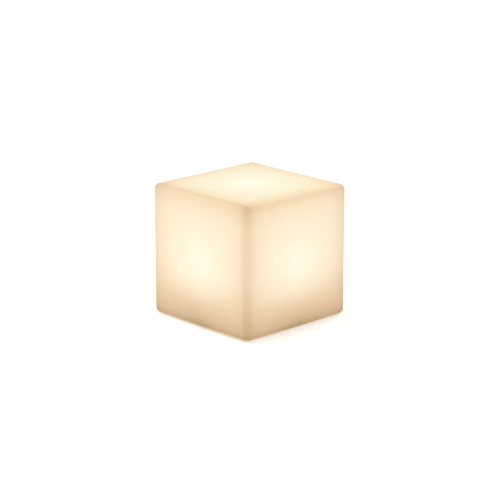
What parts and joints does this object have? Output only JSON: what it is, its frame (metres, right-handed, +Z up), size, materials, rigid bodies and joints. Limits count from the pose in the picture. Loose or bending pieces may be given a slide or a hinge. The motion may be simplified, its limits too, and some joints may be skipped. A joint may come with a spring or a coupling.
{
  "type": "led cube light",
  "caption": "Cordless glowing cube: hollow opal shell with rounded edges, lit from a rechargeable light module screwed up into its base, on rubber feet.",
  "frame": {"origin": "on the floor, under the middle of the cube", "axes": "+Z up; the charging port lies towards -X of the middle of the underside and the charge indicator towards +X; the shell's four sides face +X, -X, +Y and -Y"},
  "size_m": [0.2, 0.2, 0.199],
  "materials": {
    "opal_shell": "satin opal polyethylene, glowing warm white",
    "brass": "turned and knurled",
    "housing_plastic": "fine moulded grain",
    "cover_plastic": "fine moulded grain",
    "button_rubber": "matte",
    "door_plastic": "matte",
    "door_seal": "matte",
    "switch_plastic": "moulded",
    "black_silicone": "satin",
    "grey_silicone": "satin",
    "screw_steel": "zinc plated",
    "pin_steel": "ground",
    "green_board": "solder mask",
    "white_board": "white solder mask",
    "led_package": "moulded ceramic-filled plastic",
    "led_phosphor": "silicone with phosphor, glowing",
    "spreader_aluminium": "milled",
    "frosted_dome": "frosted translucent",
    "socket_steel": "drawn, nickel plated",
    "indicator_led": "moulded",
    "clear_light_pipe": "clear acrylic",
    "chip_plastic": "moulded epoxy",
    "inductor_ferrite": "moulded ferrite",
    "capacitor_can": "heat-shrink sleeve",
    "connector_nylon": "natural nylon",
    "cell_wrap": "heat-shrink sleeve",
    "nickel_strip": "nickel",
    "clamp_plastic": "moulded",
    "red_insulation": "silicone-covered wire",
    "black_insulation": "silicone-covered wire",
    "foot_rubber": "matte"
  },
  "bodies": {
    "cube_light": {"battery_bridge": "nickel_strip", "battery_cell_a": "cell_wrap", "battery_cell_b": "cell_wrap", "battery_clamp": "clamp_plastic", "battery_connector": "connector_nylon", "battery_lead_negative": "black_insulation", "battery_lead_positive": "red_insulation", "battery_tabs": "nickel_strip", "board_screws": "screw_steel", "button_seal": "black_silicone", "charging_socket": "socket_steel", "clamp_screws": "screw_steel", "control_board": "green_board", "control_chips": "chip_plastic", "cover_gasket": "grey_silicone", "cover_screws": "screw_steel", "diffuser_shell": "opal_shell", "dome_gasket": "grey_silicone", "dome_lens": "frosted_dome", "dome_screws": "screw_steel", "driver_inductor": "inductor_ferrite", "foot_back_left": "foot_rubber", "foot_back_right": "foot_rubber", "foot_front_left": "foot_rubber", "foot_front_right": "foot_rubber", "heat_spreader": "spreader_aluminium", "hinge_pin": "pin_steel", "indicator_led": "indicator_led", "lead_grommet": "black_silicone", "led_board": "white_board", "led_board_screws": "screw_steel", "led_packages": "led_package", "led_phosphors": "led_phosphor", "light_connector": "connector_nylon", "light_lead_negative": "black_insulation", "light_lead_positive": "red_insulation", "light_pipe": "clear_light_pipe", "module_cover": "cover_plastic", "module_housing": "housing_plastic", "module_screws": "screw_steel", "power_switch": "switch_plastic", "shell_gasket": "grey_silicone", "shell_inserts": "brass", "smoothing_capacitor": "capacitor_can"},
    "power_button": {"button_cap": "button_rubber", "switch_plunger": "switch_plastic"},
    "charging_port_door": {"port_door": "door_plastic", "port_plug": "door_seal"}
  },
  "joints": [
    {"name": "button_press", "type": "slide", "parent": "cube_light", "child": "power_button", "axis": [0, 0, 1], "range_m": [0, 0.0008], "stiffness_N_per_m": 600, "springref_m": -0.002},
    {"name": "port_door_hinge", "type": "hinge", "parent": "cube_light", "child": "charging_port_door", "pos_m": [-0.038, 0, 0.0036], "axis": [0, 1, 0], "range_deg": [0, 120]}
  ]
}
